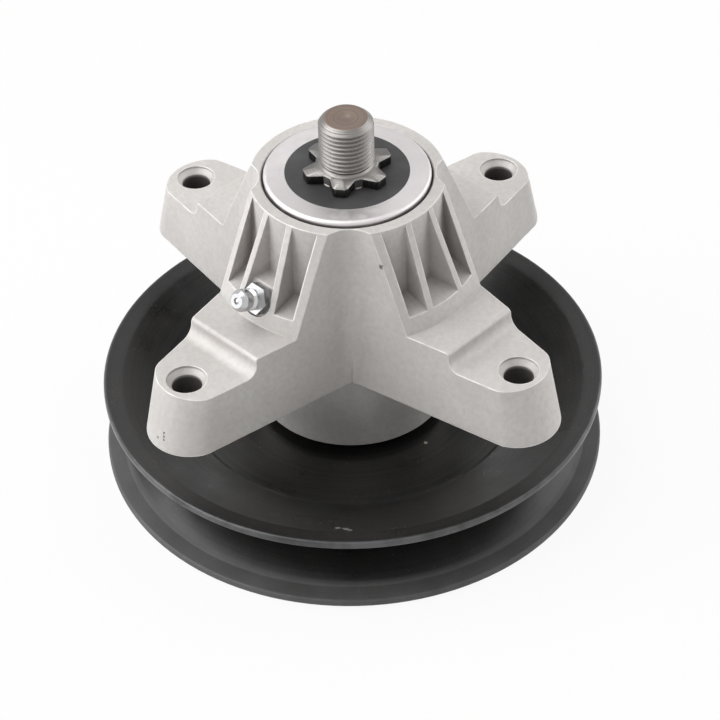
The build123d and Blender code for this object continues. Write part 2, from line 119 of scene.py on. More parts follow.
def ramp(tree, value, low, high, out_low=0.0, out_high=1.0):
    node = tree.nodes.new("ShaderNodeMapRange")
    node.inputs["From Min"].default_value = low
    node.inputs["From Max"].default_value = high
    node.inputs["To Min"].default_value = out_low
    node.inputs["To Max"].default_value = out_high
    tree.links.new(value, node.inputs["Value"])
    return node.outputs["Result"]


def patches(tree, vector, scale, low, high, out_low=0.0, out_high=1.0, detail=3.0):
    """Noise through a ramp: out_low where the noise is below low, out_high above high."""
    return ramp(tree, noise(tree, vector, scale, detail), low, high, out_low, out_high)


def mix_colour(tree, value, colour_a, colour_b):
    """Moves from colour_a to colour_b as the value goes from 0 to 1."""
    node = tree.nodes.new("ShaderNodeMix")
    node.data_type = "RGBA"
    tree.links.new(value, node.inputs[0])
    for socket, colour in ((node.inputs[6], colour_a), (node.inputs[7], colour_b)):
        if isinstance(colour, tuple):
            socket.default_value = (*colour, 1.0)
        else:
            tree.links.new(colour, socket)
    return node.outputs[2]


def math_node(tree, operation, a, b=None):
    node = tree.nodes.new("ShaderNodeMath")
    node.operation = operation
    for socket, value in ((node.inputs[0], a), (node.inputs[1], b)):
        if isinstance(value, (int, float)):
            socket.default_value = value
        elif value is not None:
            tree.links.new(value, socket)
    return node.outputs[0]


print("helpers for values and colours are ready")

# %% [markdown]
# ## Edges, corners and relief
# Cast and machined edges are never sharp, and a bevel on the mesh is the plain way to
# round them. Where the mesh can't carry one, a Bevel node rounds the normals alone, and
# the angle between its normal and the plain one finds the edges. Ambient occlusion tells
# how open a place is, and a Bump node draws a relief that is too fine to model.

# %% Edges, corners and relief
LOOKS = 8
DOT_OFF_EDGE, DOT_ON_EDGE = 0.997, 0.9


def rounded(tree, radius):
    """The surface's normal as if its edges were rounded, and how near an edge is, 0 to 1."""
    soft = tree.nodes.new("ShaderNodeBevel")
    soft.samples = LOOKS
    soft.inputs["Radius"].default_value = radius
    plain = tree.nodes.new("ShaderNodeNewGeometry").outputs["Normal"]
    dot = tree.nodes.new("ShaderNodeVectorMath")
    dot.operation = "DOT_PRODUCT"
    tree.links.new(soft.outputs["Normal"], dot.inputs[0])
    tree.links.new(plain, dot.inputs[1])
    near_edge = ramp(tree, dot.outputs["Value"], DOT_OFF_EDGE, DOT_ON_EDGE)
    return soft.outputs["Normal"], near_edge


def openness(tree, reach):
    """1 where a surface is open to the light, less in corners closer than reach."""
    node = tree.nodes.new("ShaderNodeAmbientOcclusion")
    node.samples = LOOKS
    node.inputs["Distance"].default_value = reach
    return node.outputs["AO"]


def bump(tree, shader, height, strength, distance, normal=None):
    node = tree.nodes.new("ShaderNodeBump")
    if normal:
        tree.links.new(normal, node.inputs["Normal"])
    node.inputs["Strength"].default_value = strength
    node.inputs["Distance"].default_value = distance
    tree.links.new(height, node.inputs["Height"])
    tree.links.new(node.outputs["Normal"], shader.inputs["Normal"])


print("helpers for edges, corners and relief are ready")

# %% [markdown]
# ## Rings and marks
# Turned and pressed parts show fine rings round their axis. They could be grooves in the
# mesh, but they are only hundredths of a millimetre deep, so a noise that changes with
# the radius alone draws them. A single mark, such as a pit, is the distance to a point,
# made ragged by a noise, so that it needs no image and stays where it is put.

# %% Rings and marks
RING_DETAIL = 4.0
MARK_SCALE = 1800.0
MARK_RAGGED = 0.35
MARK_CORE = 0.7


def split_xyz(tree, vector):
    node = tree.nodes.new("ShaderNodeSeparateXYZ")
    tree.links.new(vector, node.inputs[0])
    return node.outputs


def hypotenuse(tree, x, y):
    squares = [math_node(tree, "MULTIPLY", side, side) for side in (x, y)]
    return math_node(tree, "SQRT", math_node(tree, "ADD", *squares))


def radius_from_axis(tree, coords):
    """The distance from the shaft's axis."""
    x, y, _ = split_xyz(tree, coords)
    return hypotenuse(tree, x, y)


def rings(tree, radius, scale):
    """Noise that changes with the radius alone: concentric lines."""
    node = tree.nodes.new("ShaderNodeTexNoise")
    node.noise_dimensions = "1D"
    node.inputs["Scale"].default_value = scale
    node.inputs["Detail"].default_value = RING_DETAIL
    tree.links.new(radius, node.inputs["W"])
    return node.outputs["Fac"]


def marks(tree, coords, places, size):
    """1 on small ragged spots at the given places in mm, 0 elsewhere; size is in mm."""
    found = None
    swing = MARK_RAGGED * size * MM
    ragged = patches(tree, coords, MARK_SCALE, 0.3, 0.7, -swing, swing)
    for place in places:
        node = tree.nodes.new("ShaderNodeVectorMath")
        node.operation = "DISTANCE"
        node.inputs[1].default_value = [value * MM for value in place]
        tree.links.new(coords, node.inputs[0])
        distance = math_node(tree, "ADD", node.outputs["Value"], ragged)
        spot = ramp(tree, distance, size * MM, MARK_CORE * size * MM)
        found = spot if found is None else math_node(tree, "MAXIMUM", found, spot)
    return found


print("helpers for rings and marks are ready")

# %% [markdown]
# ## Cast aluminium
# The housing is die-cast aluminium with a fine grain. Its tone changes slowly across the
# casting. Its outer edges are made bright, partly as wear and partly as a painted
# highlight. Its inner corners, its bolt holes and the line round the bearing are made dark
# with painted shade.
#
# Vertex colours could hold such places, but the CAD mesh has too few points for them. So
# the masks are worked out from the object's own coordinates.

# %% Places on the casting
HOLE_XY = 93.3 * MM / 2
HOLE_R = 4.35 * MM
HOLE_MOUTH_Z = 61.6 * MM
WALL_NEAR, WALL_FAR = HOLE_R + 0.1 * MM, HOLE_R + 0.25 * MM
MOUTH_FADE = 1.2 * MM
RING_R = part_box("blade_bearing_outer_ring")[1].x
HOUSING_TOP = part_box("housing")[1].z
GAP_SHADE_NEAR, GAP_SHADE_FAR = RING_R + 0.45 * MM, RING_R + 0.75 * MM
GAP_SHADE_LOW, GAP_SHADE_HIGH = HOUSING_TOP - 1.5 * MM, HOUSING_TOP - 1.0 * MM
LEG_PITS = [(-53.5, -55.0, 51.1), (-53.6, -55.3, 50.0), (-53.6, -55.6, 49.0), (-55.4, -54.0, 48.7)]
TOWER_PIT = [(8.7, -30.6, 89.3)]


def in_bolt_hole(tree, coords):
    """1 on the walls of the four bolt holes, 0 elsewhere."""
    x, y, z = split_xyz(tree, coords)
    folded = [math_node(tree, "ABSOLUTE", side) for side in (x, y)]
    away = [math_node(tree, "SUBTRACT", side, HOLE_XY) for side in folded]
    inside = ramp(tree, hypotenuse(tree, *away), WALL_NEAR, WALL_FAR, 1.0, 0.0)
    deep = ramp(tree, z, HOLE_MOUTH_Z - MOUTH_FADE, HOLE_MOUTH_Z, 1.0, 0.0)
    return math_node(tree, "MULTIPLY", inside, deep)


def shade_round_ring(tree, coords):
    """1 in the narrow line of painted shade where the bearing's ring meets the casting."""
    near = ramp(tree, radius_from_axis(tree, coords), GAP_SHADE_NEAR, GAP_SHADE_FAR, 1.0, 0.0)
    high = ramp(tree, split_xyz(tree, coords)[2], GAP_SHADE_LOW, GAP_SHADE_HIGH)
    return math_node(tree, "MULTIPLY", near, high)


print("ring radius", round(RING_R, 5), "housing top", round(HOUSING_TOP, 5))

# %% [markdown]
# The skin is built up in layers, from the slow clouds of tone to the pits. Bevelling this
# mesh kinks the thin fins and leaves spikes in the valleys, so the Bevel node rounds the
# edges. An edge is lightened only where it is also open, because a hand can't reach an
# inner corner; the lighter edge is partly wear and partly a painted highlight.

# %% Cast aluminium
SKIN_DARK, SKIN_LIGHT = (0.56, 0.538, 0.52), (0.64, 0.62, 0.603)
SPECK = (0.3, 0.285, 0.27)
SAND = (0.42, 0.4, 0.385)
CORNER_PAINTED_SHADE = (0.16, 0.15, 0.14)
EDGE_WEAR_AND_HIGHLIGHT = (0.92, 0.9, 0.88)
RING_GAP_SHADE = (0.03, 0.028, 0.026)
HOLE_SHADE = (0.11, 0.1, 0.095)
PIT = (0.05, 0.045, 0.04)
CLOUD_SCALE, PATCH_SCALE, SAND_SCALE, GRAIN_SCALE = 45.0, 220.0, 650.0, 1500.0
EDGE_ROUND = 0.6 * MM
OPENNESS_REACH = 4.0 * MM
GRAIN_HEIGHT = 0.08 * MM
LEG_PIT_SIZE, TOWER_PIT_SIZE = 0.42, 0.8


def cast_aluminium():
    mat, tree, shader = new_material("cast_aluminium", roughness=0.55, metallic=0.3)
    coords = object_coords(tree)
    tone = patches(tree, coords, CLOUD_SCALE, 0.3, 0.7, detail=4.0)
    skin = mix_colour(tree, tone, SKIN_DARK, SKIN_LIGHT)
    grain = noise(tree, coords, GRAIN_SCALE, 2.0)
    skin = mix_colour(tree, ramp(tree, grain, 0.6, 0.8, 0.0, 0.25), skin, SPECK)
    sandy = patches(tree, coords, SAND_SCALE, 0.35, 0.7, 0.0, 0.3, detail=2.0)
    skin = mix_colour(tree, sandy, skin, SAND)

    soft_normal, near_edge = rounded(tree, EDGE_ROUND)
    open_to_light = openness(tree, OPENNESS_REACH)
    # Painted shade: the inner corners, found by ambient occlusion, are darkened.
    in_corner = ramp(tree, open_to_light, 0.4, 0.85, 0.28, 0.0)
    skin = mix_colour(tree, in_corner, skin, CORNER_PAINTED_SHADE)
    # The open edges are made paler: partly wear, partly a painted highlight.
    patchy = patches(tree, coords, PATCH_SCALE, 0.35, 0.6, 0.35, 1.0)
    open_patches = math_node(tree, "MULTIPLY", patchy, ramp(tree, open_to_light, 0.75, 0.92))
    wear_and_highlight = math_node(tree, "MULTIPLY", near_edge, open_patches)
    skin = mix_colour(tree, wear_and_highlight, skin, EDGE_WEAR_AND_HIGHLIGHT)

    # Painted shadow in the narrow gap where the bearing's ring meets the casting.
    skin = mix_colour(tree, shade_round_ring(tree, coords), skin, RING_GAP_SHADE)
    # Painted shade on the walls inside the four bolt holes.
    skin = mix_colour(tree, in_bolt_hole(tree, coords), skin, HOLE_SHADE)
    leg_pits = marks(tree, coords, LEG_PITS, LEG_PIT_SIZE)
    tower_pit = marks(tree, coords, TOWER_PIT, TOWER_PIT_SIZE)
    pitted = ramp(tree, math_node(tree, "MAXIMUM", leg_pits, tower_pit), 0.0, 1.0, 0.0, 0.8)
    tree.links.new(mix_colour(tree, pitted, skin, PIT), shader.inputs["Base Color"])

    rough = patches(tree, coords, 160.0, 0.3, 0.7, 0.5, 0.64)
    tree.links.new(rough, shader.inputs["Roughness"])
    bump(tree, shader, grain, 0.5, GRAIN_HEIGHT, soft_normal)
    return mat


ALUMINIUM = cast_aluminium()
print("made", ALUMINIUM.name)

# %% [markdown]
# ## Turned steel
# Four finishes of the shaft and the bearings are lathe-turned steel: the dark shaft, the
# bright faced ring, the brownish end face, and the black flanks of the star, which share
# only the network. The black of the flanks is a painted reflection of the dark seal beside
# them. One plain metal would make them all alike, so each gets its own two tones. On the
# faced ring the lathe's lines also draw the highlights out, which an anisotropic shader
# does along its tangent.

# %% Turned steel
TURNING_HEIGHT = 0.03 * MM


def turned_steel(name, dark, light, roughness, ring_scale, ring_strength, stretch=0.0):
    """Stretch draws the highlights out across the lathe's lines, as on a faced ring."""
    mat, tree, shader = new_material(name, roughness, metallic=1.0)
    if stretch:
        shader.inputs["Anisotropic"].default_value = stretch
        along = tree.nodes.new("ShaderNodeTangent")
        along.direction_type, along.axis = "RADIAL", "Z"
        tree.links.new(along.outputs[0], shader.inputs["Tangent"])
    coords = object_coords(tree)
    lines = rings(tree, radius_from_axis(tree, coords), ring_scale)
    tone = mix_colour(tree, ramp(tree, lines, 0.3, 0.7), dark, light)
    smudge = patches(tree, coords, 120.0, 0.35, 0.7, 0.0, 0.25)
    tree.links.new(mix_colour(tree, smudge, tone, dark), shader.inputs["Base Color"])
    rough = patches(tree, coords, 300.0, 0.3, 0.7, roughness * 0.85, roughness * 1.2)
    tree.links.new(rough, shader.inputs["Roughness"])
    bump(tree, shader, lines, ring_strength, TURNING_HEIGHT)
    return mat


SHAFT_STEEL = turned_steel(
    "shaft_steel", dark=(0.18, 0.171, 0.163), light=(0.3, 0.287, 0.277),
    roughness=0.38, ring_scale=4000.0, ring_strength=0.2,
)
BEARING_STEEL = turned_steel(
    "bearing_steel", dark=(0.58, 0.556, 0.56), light=(0.69, 0.66, 0.665),
    roughness=0.48, ring_scale=5000.0, ring_strength=0.25, stretch=0.32,
)
END_STEEL = turned_steel(
    "shaft_end_steel", dark=(0.2, 0.155, 0.13), light=(0.27, 0.215, 0.185),
    roughness=0.5, ring_scale=1600.0, ring_strength=0.5,
)
# Painted reflection: the star's flanks are made near black for the dark seal they mirror.
STAR_SIDE_REFLECTION = turned_steel(
    "star_side_painted_reflection", dark=(0.02, 0.019, 0.018), light=(0.06, 0.057, 0.054),
    roughness=0.45, ring_scale=900.0, ring_strength=0.2,
)
print("made", SHAFT_STEEL.name, BEARING_STEEL.name, END_STEEL.name, STAR_SIDE_REFLECTION.name)

# %% [markdown]
# ## Pulley paint
# The pulley is pressed from two sheets and painted semi-gloss black. The paint shows
# faint rings under it, a slight orange peel, fine grains, and a few pale specks, which
# are placed one by one. A plain black shader would look like plastic.
#
# The lip of the lower half is much paler in the photograph. Part of that may be its
# slope, which isn't known. A pale painted reflection and a duller gloss on that lip bring
# the tone nearer, as a guess, so the lower half has a paint of its own.

# %% Pulley paint
PAINT_ROUGHNESS = 0.31
PAINT_DARK, PAINT_LIGHT = (0.004, 0.004, 0.0045), (0.011, 0.0105, 0.0105)
LIP_PAINTED_REFLECTION = (0.3, 0.3, 0.3)
FINE_GRAIN = (0.045, 0.04, 0.034)
RIM_WEAR_AND_HIGHLIGHT = (0.1, 0.1, 0.105)
DUST_FLECK = (0.3, 0.29, 0.27)
PALE_SPECK, YELLOW_SPECK = (0.16, 0.16, 0.15), (0.4, 0.37, 0.26)
PALE_PLACES = [(-5.4, -67.1, 23.6), (-2.0, -68.6, 24.2), (-3.2, -67.7, 23.9)]
YELLOW_PLACES = [(21.3, -25.2, 16.5)]
PALE_SIZE, YELLOW_SIZE = 0.9, 0.6
LIP_R = 69.5 * MM
LIP_FADE = 1.5 * MM
PEEL_HEIGHT = 0.04 * MM


def pulley_paint(name, lip_reflection, lip_roughness, rim_r):
    """Black paint, paler at the rim by rubbing and a painted highlight; the third argument is how
    pale the painted reflection on the lip is.
    """
    mat, tree, shader = new_material(name, PAINT_ROUGHNESS)
    coords = object_coords(tree)
    radius = radius_from_axis(tree, coords)
    lines = rings(tree, radius, 900.0)
    paint = mix_colour(tree, ramp(tree, lines, 0.35, 0.65), PAINT_DARK, PAINT_LIGHT)

    # Painted reflection: a pale, cloudy film on the lower lip.
    clouds = patches(tree, coords, 60.0, 0.35, 0.7, 0.6 * lip_reflection, lip_reflection)
    on_lip = ramp(tree, radius, LIP_R, LIP_R + LIP_FADE)
    paint = mix_colour(tree, math_node(tree, "MULTIPLY", clouds, on_lip), paint, LIP_PAINTED_REFLECTION)
    grains = patches(tree, coords, 2000.0, 0.48, 0.72, 0.0, 0.3, detail=2.0)
    paint = mix_colour(tree, grains, paint, FINE_GRAIN)
    # The rim is made paler: partly rubbed paint, partly a painted highlight.
    at_rim = ramp(tree, radius, rim_r - 1.0 * MM, rim_r - 0.3 * MM)
    uneven = patches(tree, coords, 130.0, 0.35, 0.65, 0.25, 1.0)
    paint = mix_colour(tree, math_node(tree, "MULTIPLY", at_rim, uneven), paint, RIM_WEAR_AND_HIGHLIGHT)
    flecks = patches(tree, coords, 1400.0, 0.76, 0.82, 0.0, 0.5, detail=1.0)
    paint = mix_colour(tree, flecks, paint, DUST_FLECK)
    paint = mix_colour(tree, marks(tree, coords, PALE_PLACES, PALE_SIZE), paint, PALE_SPECK)
    yellow = marks(tree, coords, YELLOW_PLACES, YELLOW_SIZE)
    tree.links.new(mix_colour(tree, yellow, paint, YELLOW_SPECK), shader.inputs["Base Color"])

    glossy = patches(tree, coords, 90.0, 0.3, 0.7, 0.26, 0.36)
    dulled = math_node(tree, "MULTIPLY", on_lip, lip_roughness - PAINT_ROUGHNESS)
    tree.links.new(math_node(tree, "ADD", glossy, dulled), shader.inputs["Roughness"])
    orange_peel = noise(tree, coords, 900.0, 2.0)
    bump(tree, shader, math_node(tree, "ADD", orange_peel, lines), 0.3, PEEL_HEIGHT)
    return mat


UPPER_RIM_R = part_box("pulley_upper_half")[1].x
LOWER_RIM_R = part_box("pulley_lower_half")[1].x
PAINT = pulley_paint(
    "pulley_paint", lip_reflection=0.0, lip_roughness=PAINT_ROUGHNESS, rim_r=UPPER_RIM_R
)
LOWER_PAINT = pulley_paint(
    "pulley_paint_lip_reflection", lip_reflection=0.28, lip_roughness=0.58, rim_r=LOWER_RIM_R
)
print("made", PAINT.name, LOWER_PAINT.name)

# %% [markdown]
# ## Rubber, zinc and plastic
# The seal is black rubber, the grease fitting is zinc plated, and the cages inside the
# bearings are plastic. Each could have a network of its own, but all three need only a
# slow change of tone and a grain, so one maker serves them.

# %% Rubber, zinc and plastic
TONE_PER_GRAIN = 12


def grained(name, dark, light, metallic, roughness, scale, strength):
    mat, tree, shader = new_material(name, roughness, metallic)
    coords = object_coords(tree)
    tone = patches(tree, coords, scale / TONE_PER_GRAIN, 0.3, 0.7)
    tree.links.new(mix_colour(tree, tone, dark, light), shader.inputs["Base Color"])
    bump(tree, shader, noise(tree, coords, scale), strength, PEEL_HEIGHT)
    return mat


RUBBER = grained(
    "seal_rubber", dark=(0.032, 0.032, 0.034), light=(0.06, 0.06, 0.063),
    metallic=0.0, roughness=0.6, scale=1500.0, strength=0.4,
)
PLATING = grained(
    "zinc_plating", dark=(0.4, 0.405, 0.415), light=(0.58, 0.585, 0.59),
    metallic=1.0, roughness=0.26, scale=1200.0, strength=0.1,
)
CAGE = grained(
    "cage_plastic", dark=(0.1, 0.1, 0.11), light=(0.14, 0.14, 0.15),
    metallic=0.0, roughness=0.45, scale=900.0, strength=0.1,
)
print("made", RUBBER.name, PLATING.name, CAGE.name)

# %% [markdown]
# ## CAD nodes that stay
# Every node but the shaft and the check spring stays as the CAD has it. The record names
# a material slot for each, so the scene asks the record instead of keeping a list of its
# own that could go wrong.

# %% Dress the CAD nodes
BY_SLOT = {
    "cast_aluminium": ALUMINIUM,
    "shaft_steel": SHAFT_STEEL,
    "bearing_steel": BEARING_STEEL,
    "pulley_paint": PAINT,
    "seal_rubber": RUBBER,
    "plated_steel": PLATING,
    "cage_plastic": CAGE,
}
slot_of = {part["node"]: part["material_slot"] for part in frame["record"]["subparts"]}
for name, node in nodes.items():
    node.data.materials.clear()
    node.data.materials.append(BY_SLOT[slot_of[name]])
nodes["pulley_lower_half"].data.materials[0] = LOWER_PAINT
print("dressed:", len(slot_of), "of", len(nodes))

# %% [markdown]
# ## Editable copies
# A CAD mesh is never changed, so a piece with more detail starts from a copy of it. The
# copy is loose triangles. They are welded, and the flat areas are joined back into large
# faces, because a bevel can only run cleanly between two wide faces. A Bevel modifier
# would treat every edge alike, while this one leaves out strips too thin to carry it.

# %% Editable copies
WELD = 1e-6
FLAT_DEG = 0.4
SMOOTH_DEG = 32
STRIP_PER_BEVEL = 2.5


def copy_of(node, name):
    mesh = bpy.data.meshes.new(name)
    bm = bmesh.new()
    bm.from_mesh(node.data)
    bmesh.ops.remove_doubles(bm, verts=bm.verts, dist=WELD)
    return bm, mesh


def face_width(face):
    """The width of a strip with the face's area and half its perimeter as length."""
    return 2 * face.calc_area() / face.calc_perimeter()


def soften(bm, width, sharp_deg):
    """Bevels the sharp edges whose faces are wide enough to carry it."""
    flat = math.radians(FLAT_DEG)
    bmesh.ops.dissolve_limit(bm, angle_limit=flat, verts=bm.verts, edges=bm.edges)
    limit, strip = math.radians(sharp_deg), STRIP_PER_BEVEL * width
    sharp = [e for e in bm.edges if e.is_manifold and e.calc_face_angle(0) > limit]
    sharp = [e for e in sharp if min(face_width(face) for face in e.link_faces) > strip]
    bmesh.ops.bevel(
        bm, geom=sharp, offset=width, segments=2, profile=0.5, affect="EDGES",
        material=-1, clamp_overlap=True, loop_slide=False,
    )


def finish_piece(bm, mesh, name, material, body):
    bmesh.ops.triangulate(bm, faces=[f for f in bm.faces if len(f.verts) > 4])
    bm.to_mesh(mesh)
    bm.free()
    mesh.materials.append(material)
    piece = bpy.data.objects.new(name, mesh)
    bpy.context.scene.collection.objects.link(piece)
    mesh.shade_smooth()
    mesh.set_sharp_from_angle(angle=math.radians(SMOOTH_DEG))
    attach(piece, body)
    return piece


print("copy, soften and finish are ready")

# %% [markdown]
# ## Thread form
# The shaft is one piece of steel: a star of teeth that drives the blade, and above it a
# fine thread for the blade's nut, with 18 turns to the inch. In CAD the thread's
# thousands of faces would slow every check, so it is left to this scene. The heights it
# hangs on are measured from the CAD shaft rather than typed, so that the two can't drift
# apart.
#
# A V swept along a helix and cut away with a boolean would be the usual way, but booleans
# on such thin slivers often fail. A radius that depends on height and angle can't.

# %% Thread form
SHAFT_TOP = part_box("shaft")[1].z
STAR_TOP = SHAFT_TOP - 15.75 * MM
STAR_BOTTOM = STAR_TOP - 2.6 * MM
CUT_Z = STAR_TOP + 0.85 * MM
SLEEVE_Z = STAR_TOP + 1.0 * MM
THREADS_PER_INCH = 18
THREAD_PITCH = 25.4 / THREADS_PER_INCH * MM
THREAD_R = 7.9 * MM
THREAD_DEPTH = 0.9 * MM
GROOVE_HALF, GROOVE_FLOOR = 0.44, 0.88
RELIEF_R = 7.2 * MM
RELIEF_TOP = STAR_TOP + 1.9 * MM
RELIEF_SLOPE = 0.7 * MM
END_BEVEL = 1.5 * MM
END_BEVEL_R = 6.2 * MM


def stub_radius(z, angle):
    """Radius of the threaded end at a height and an angle."""
    bevel_z = SHAFT_TOP - END_BEVEL
    if z <= RELIEF_TOP - RELIEF_SLOPE:
        return RELIEF_R
    if z < RELIEF_TOP:
        risen = (z - RELIEF_TOP + RELIEF_SLOPE) / RELIEF_SLOPE
        outer = RELIEF_R + (THREAD_R - RELIEF_R) * risen
    elif z > bevel_z:
        outer = THREAD_R - (THREAD_R - END_BEVEL_R) * (z - bevel_z) / END_BEVEL
    else:
        outer = THREAD_R
    turn = ((z - RELIEF_TOP) / THREAD_PITCH - angle / (2 * math.pi)) % 1.0
    groove = max(0.0, 1.0 - abs(turn - 0.5) / GROOVE_HALF)
    return min(outer, THREAD_R - THREAD_DEPTH * min(groove, GROOVE_FLOOR))


print("shaft top", round(SHAFT_TOP, 5), "relief radius", stub_radius(SLEEVE_Z, 0.0))

# %% [markdown]
# ## Threaded sleeve
# The end of the shaft is a sleeve. A cylinder primitive has no rows to move, so a
# straight line is cut into many short pieces and spun round the axis, and each of its
# points then moves to the thread's radius. The end face is filled and inset for the
# shallow centre that the lathe held it by.

# %% Threaded sleeve
SLEEVE_COLUMNS, SLEEVE_ROWS = 112, 190
SAME_HEIGHT = 1e-5
END_SLOT, STAR_SLOT = 1, 2
END_INSETS = ((0.6 * MM, 0.0), (4.4 * MM, 0.0), (0.45 * MM, -0.25 * MM))


def add_sleeve(bm):
    """Spins a straight line into a sleeve, then cuts the thread by moving its points."""
    sleeve = bmesh.new()
    ends = [sleeve.verts.new((THREAD_R, 0, z)) for z in (SLEEVE_Z, SHAFT_TOP)]
    line = sleeve.edges.new(ends)
    bmesh.ops.subdivide_edges(sleeve, edges=[line], cuts=SLEEVE_ROWS - 1)
    bmesh.ops.spin(
        sleeve, geom=sleeve.verts[:] + sleeve.edges[:], cent=(0, 0, 0), axis=(0, 0, 1),
        angle=2 * math.pi, steps=SLEEVE_COLUMNS, use_merge=True,
    )
    for vert in sleeve.verts:
        angle = math.atan2(vert.co.y, vert.co.x)
        radius = stub_radius(vert.co.z, angle)
        vert.co.x, vert.co.y = radius * math.cos(angle), radius * math.sin(angle)
    mesh = bpy.data.meshes.new("sleeve")
    sleeve.to_mesh(mesh)
    sleeve.free()
    bm.from_mesh(mesh)
    bpy.data.meshes.remove(mesh)


def ring_edges(bm, z):
    """The open edges that lie at one height."""
    rim = [e for e in bm.edges if e.is_boundary]
    return [e for e in rim if all(abs(v.co.z - z) < SAME_HEIGHT for v in e.verts)]


def close_end(bm):
    """Fills the end, then insets it for the flat face and the shallow turning centre."""
    rim = ring_edges(bm, SHAFT_TOP)
    cap = bmesh.ops.edgeloop_fill(bm, edges=rim, mat_nr=END_SLOT)["faces"]
    cap[0].normal_update()
    if cap[0].normal.z < 0:
        cap[0].normal_flip()
    for inset, depth in END_INSETS:
        bmesh.ops.inset_individual(bm, faces=cap, thickness=inset, depth=depth)


print("sleeve and end are ready")

# %% [markdown]
# ## Shaft
# The star and all below it stay as the CAD has them, with their edges softened. The end
# above is cut off, and the sleeve is bridged to the cut, so that the skin has no gap.
#
# The star's top is bright, and its flanks get a near-black steel, a painted reflection of
# the dark seal beside them. Splitting it off as an object would break the one-piece shaft,
# so its side faces get a material index of their own.

# %% Shaft
NECK_R = 8.0 * MM
STEEP = 0.5
SHAFT_SOFT = 0.18 * MM
SHAFT_SHARP_DEG = 30


def paint_star_side_reflection(bm):
    bm.normal_update()
    for face in bm.faces:
        middle = face.calc_center_median()
        beside = math.hypot(middle.x, middle.y) > NECK_R and STAR_BOTTOM < middle.z < STAR_TOP
        if beside and abs(face.normal.z) < STEEP:
            face.material_index = STAR_SLOT


bm, mesh = copy_of(nodes["shaft"], "shaft_with_thread")
bmesh.ops.bisect_plane(
    bm, geom=bm.verts[:] + bm.edges[:] + bm.faces[:], plane_co=(0, 0, CUT_Z),
    plane_no=(0, 0, 1), clear_outer=True,
)
soften(bm, SHAFT_SOFT, SHAFT_SHARP_DEG)
paint_star_side_reflection(bm)
add_sleeve(bm)
bmesh.ops.bridge_loops(bm, edges=ring_edges(bm, CUT_Z) + ring_edges(bm, SLEEVE_Z))
close_end(bm)
bmesh.ops.recalc_face_normals(bm, faces=bm.faces)
print("open edges:", sum(e.is_boundary for e in bm.edges))
shaft = finish_piece(bm, mesh, "shaft_with_thread", SHAFT_STEEL, "rotor")
mesh.materials.append(END_STEEL)
mesh.materials.append(STAR_SIDE_REFLECTION)
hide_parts("shaft")
print("shaft faces:", len(mesh.polygons))

# %% [markdown]
# ## Check spring
# Inside the grease fitting a fine coil spring holds the check ball on its seat. The CAD
# spring can't shorten, so this one replaces it. A curve with a round bevel would make a
# coil too, but it would have to be turned into a mesh. Here a small ring of points is
# screwed along the axis, which bmesh's spin does when each step also gets a shift.

# %% Spring sizes
COIL_R = 1.175 * MM
WIRE_R = 0.175 * MM
COIL_TURNS = 7
COIL_LENGTH = 12.839 * MM
COIL_FOOT_DEPTH = 13.888 * MM
STEPS_PER_TURN = 16
WIRE_SIDES = 8
outwards = Vector((-0.635543, -0.635543, 0.438371)).normalized()
sideways = Vector((0.70711, -0.70711, 0.0))
ball_low, ball_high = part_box("grease_check_ball")
coil_foot = (ball_low + ball_high) / 2 - outwards * COIL_FOOT_DEPTH
print("coil foot", [round(value, 5) for value in coil_foot])

# %% Coil
bm = bmesh.new()
mesh = bpy.data.meshes.new("check_spring_coil")
upright = Matrix.Translation((COIL_R, 0, 0)) @ Matrix.Rotation(math.radians(90), 4, "X")
bmesh.ops.create_circle(bm, segments=WIRE_SIDES, radius=WIRE_R, matrix=upright)
steps = COIL_TURNS * STEPS_PER_TURN
bmesh.ops.spin(
    bm, geom=bm.verts[:] + bm.edges[:], cent=(0, 0, 0), axis=(0, 0, 1),
    dvec=(0, 0, COIL_LENGTH / steps), angle=COIL_TURNS * 2 * math.pi, steps=steps,
)
bmesh.ops.holes_fill(bm, edges=[e for e in bm.edges if e.is_boundary], sides=WIRE_SIDES)
fitting_axes = Matrix((sideways, outwards.cross(sideways), outwards)).transposed().to_4x4()
bmesh.ops.transform(bm, matrix=Matrix.Translation(coil_foot) @ fitting_axes, verts=bm.verts)
bmesh.ops.recalc_face_normals(bm, faces=bm.faces)
print("spring open edges:", sum(e.is_boundary for e in bm.edges))

# %% [markdown]
# As the ball lifts, the coil has to shorten by the ball's travel, with its foot held. The
# motion belongs to the ball's joint. Here the coil is joined to the housing's body and gets
# a mesh of its own, and the CAD spring is hidden.

# %% Spring on the housing
spring_slot = slot_of["grease_check_spring"]
coil = finish_piece(
    bm, mesh, "check_spring_coil", BY_SLOT[spring_slot], "housing_body"
)
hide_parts("grease_check_spring")
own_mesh(coil)

# %% [markdown]
# ## Rays that see the backdrop
# The part stands on a white sheet. More light would make the sheet white and burn out the
# metal, so the rays that see it, from the camera or by way of a shiny or clear surface,
# are told apart from those that only carry light.

# %% Rays that see the backdrop


def seen_rays(tree):
    """1 for a ray that sees the backdrop, directly or by a mirror or a lens, 0 for others."""
    path = tree.nodes.new("ShaderNodeLightPath")
    camera_ray, metal_ray = path.outputs["Is Camera Ray"], path.outputs["Is Glossy Ray"]
    seen = math_node(tree, "MAXIMUM", camera_ray, metal_ray)
    return math_node(tree, "MAXIMUM", seen, path.outputs["Is Transmission Ray"])


def choose_by(tree, share, lit, seen, output_type):
    """Shows the lit shader where the share is 0 and the seen one where it is 1."""
    choose = tree.nodes.new("ShaderNodeMixShader")
    sources = (share, lit.outputs[0], seen.outputs[0])
    for socket, source in zip(choose.inputs, sources):
        tree.links.new(source, socket)
    output = tree.nodes.new(output_type)
    tree.links.new(choose.outputs[0], output.inputs["Surface"])


print("ray switch ready")

# %% [markdown]
# ## Floor
# A floor that only glows would lose the soft shadow, and one that is only lit would go
# grey at its edges. So a ray that sees it gets mostly plain white and a share of the real
# lit surface, which holds the shadow. Every other ray gets a plain pale surface.

